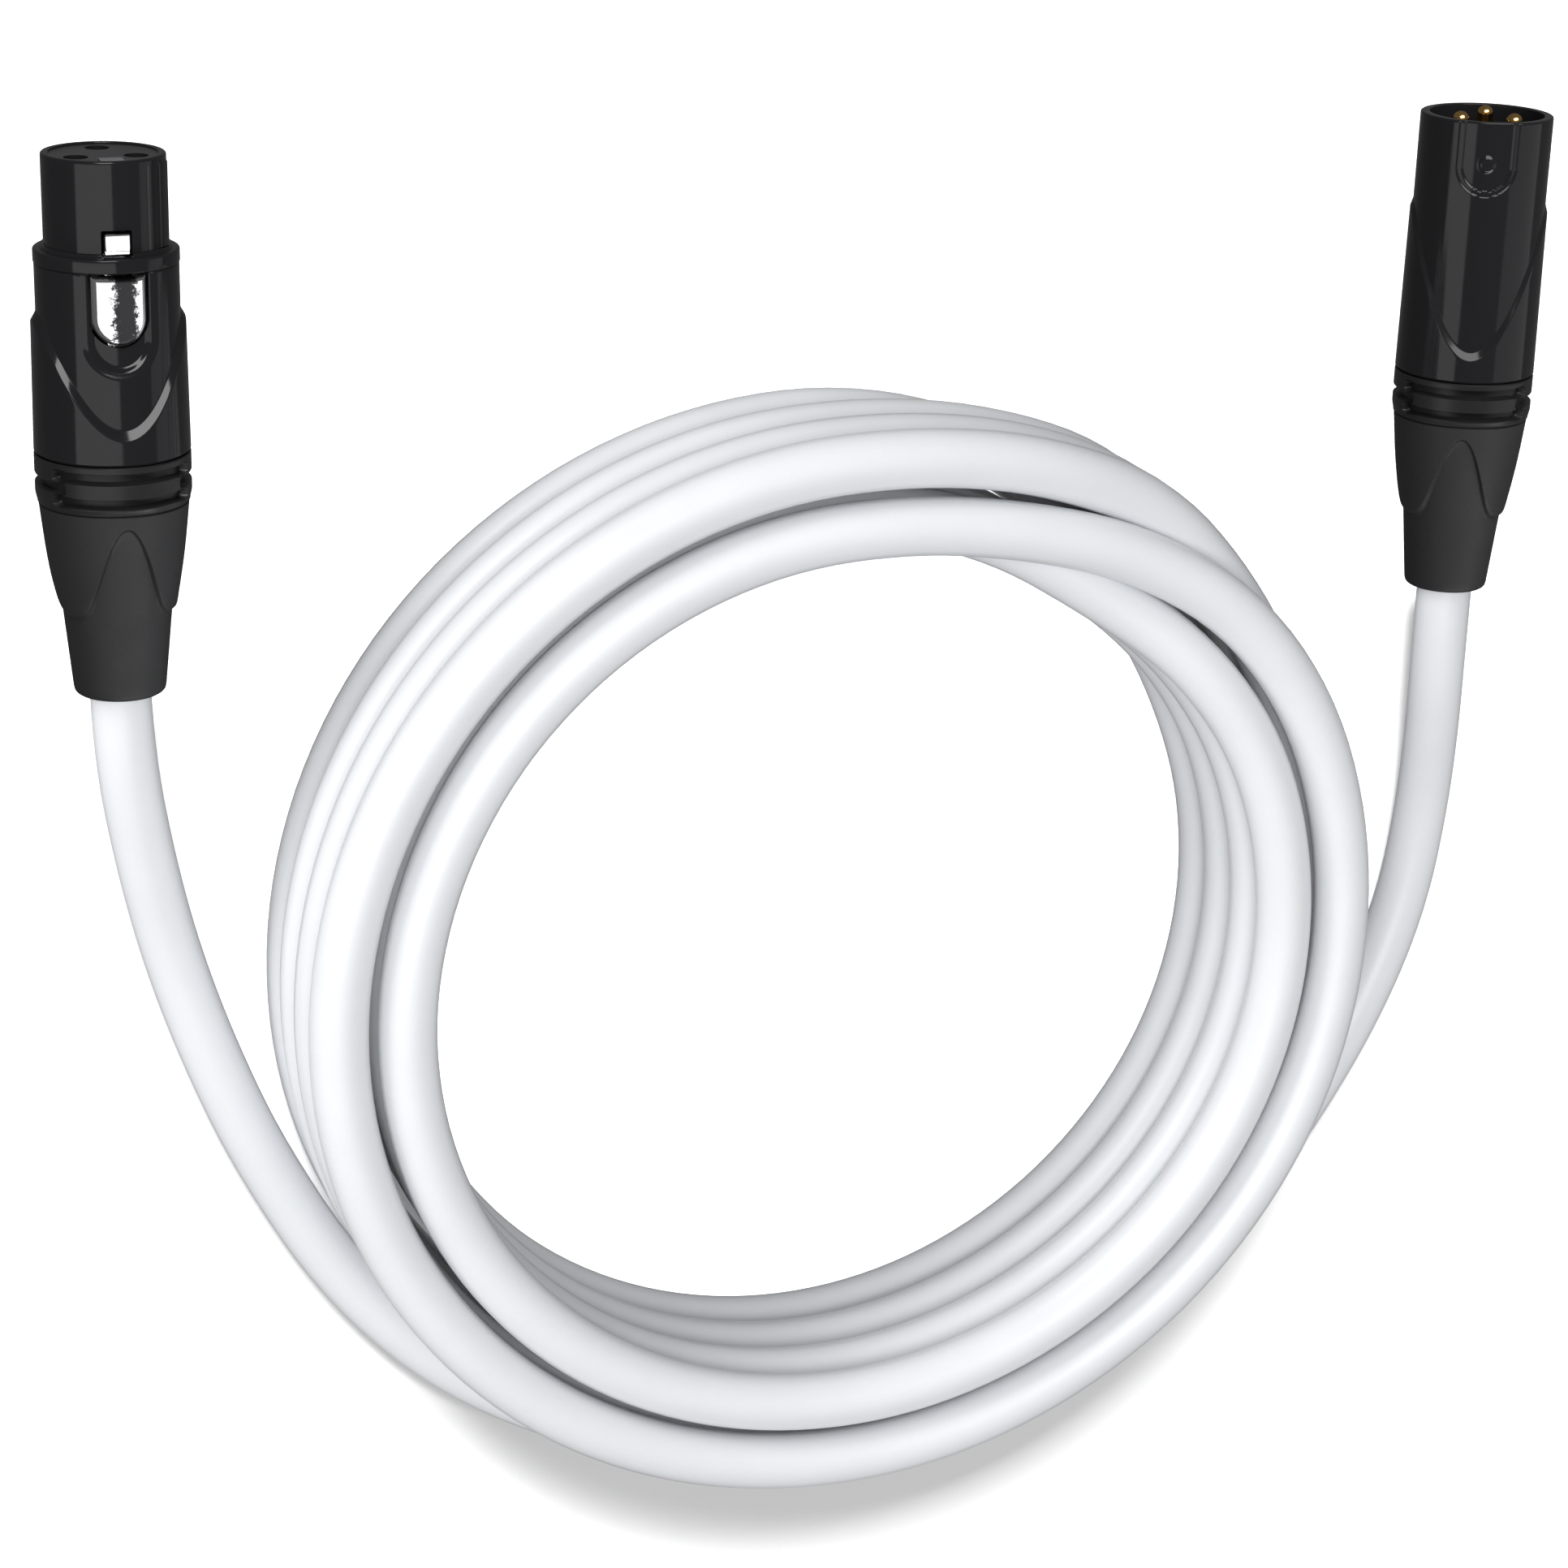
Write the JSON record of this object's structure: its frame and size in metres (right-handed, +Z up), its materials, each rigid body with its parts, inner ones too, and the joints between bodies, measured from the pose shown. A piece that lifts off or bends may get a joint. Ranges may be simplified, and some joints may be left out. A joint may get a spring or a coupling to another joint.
{
  "type": "coiled microphone cable",
  "caption": "White microphone cable wound in a flat two-layer coil, with black three-pole female and male connectors on its free ends.",
  "frame": {"origin": "on the floor under the middle of the whole object's box", "axes": "+Z up from the floor; +X across the two connectors from the female to the male; +Y along both connectors towards their mating faces"},
  "size_m": [0.22, 0.2059, 0.034],
  "materials": {
    "white_jacket": "satin white PVC jacket",
    "boot_rubber": "matt black rubber",
    "gland_plastic": "smooth black nylon",
    "chuck_plastic": "natural nylon",
    "black_shell": "gloss black lacquer on die-cast zinc",
    "insert_plastic": "moulded black nylon",
    "gold_contact": "gold-plated brass",
    "latch_chrome": "bright nickel plate",
    "spring_steel": "spring steel",
    "bare_copper": "twisted bare copper",
    "wire_red": "red polyethylene insulation",
    "wire_blue": "blue polyethylene insulation"
  },
  "bodies": {
    "root": {"cable_coil": "white_jacket", "cable_tail_female": "white_jacket", "cable_tail_male": "white_jacket", "female_boot": "boot_rubber", "female_cable_end": "white_jacket", "female_chuck": "chuck_plastic", "female_cold_wire": "wire_blue", "female_contact_1": "gold_contact", "female_contact_2": "gold_contact", "female_contact_3": "gold_contact", "female_gland_ring": "gland_plastic", "female_ground_spring": "spring_steel", "female_hot_wire": "wire_red", "female_insert": "insert_plastic", "female_shell": "black_shell", "female_shield_wire": "bare_copper", "female_thread_sleeve": "gland_plastic", "latch_pivot_pin": "spring_steel", "latch_spring": "spring_steel", "male_boot": "boot_rubber", "male_cable_end": "white_jacket", "male_chuck": "chuck_plastic", "male_cold_wire": "wire_blue", "male_gland_ring": "gland_plastic", "male_ground_spring": "spring_steel", "male_hot_wire": "wire_red", "male_insert": "insert_plastic", "male_pin_1": "gold_contact", "male_pin_2": "gold_contact", "male_pin_3": "gold_contact", "male_shell": "black_shell", "male_shield_wire": "bare_copper", "male_thread_sleeve": "gland_plastic"},
    "latch": {"latch_lever": "latch_chrome"}
  },
  "joints": [
    {"name": "latch_press", "type": "hinge", "parent": "root", "child": "latch", "pos_m": [-0.0999, 0.0776, 0.01665], "axis": [-1, 0, 0], "range_deg": [0, 5], "stiffness_Nm_per_rad": 0.4, "springref_deg": -1.15, "deforming": ["latch_spring"]}
  ]
}
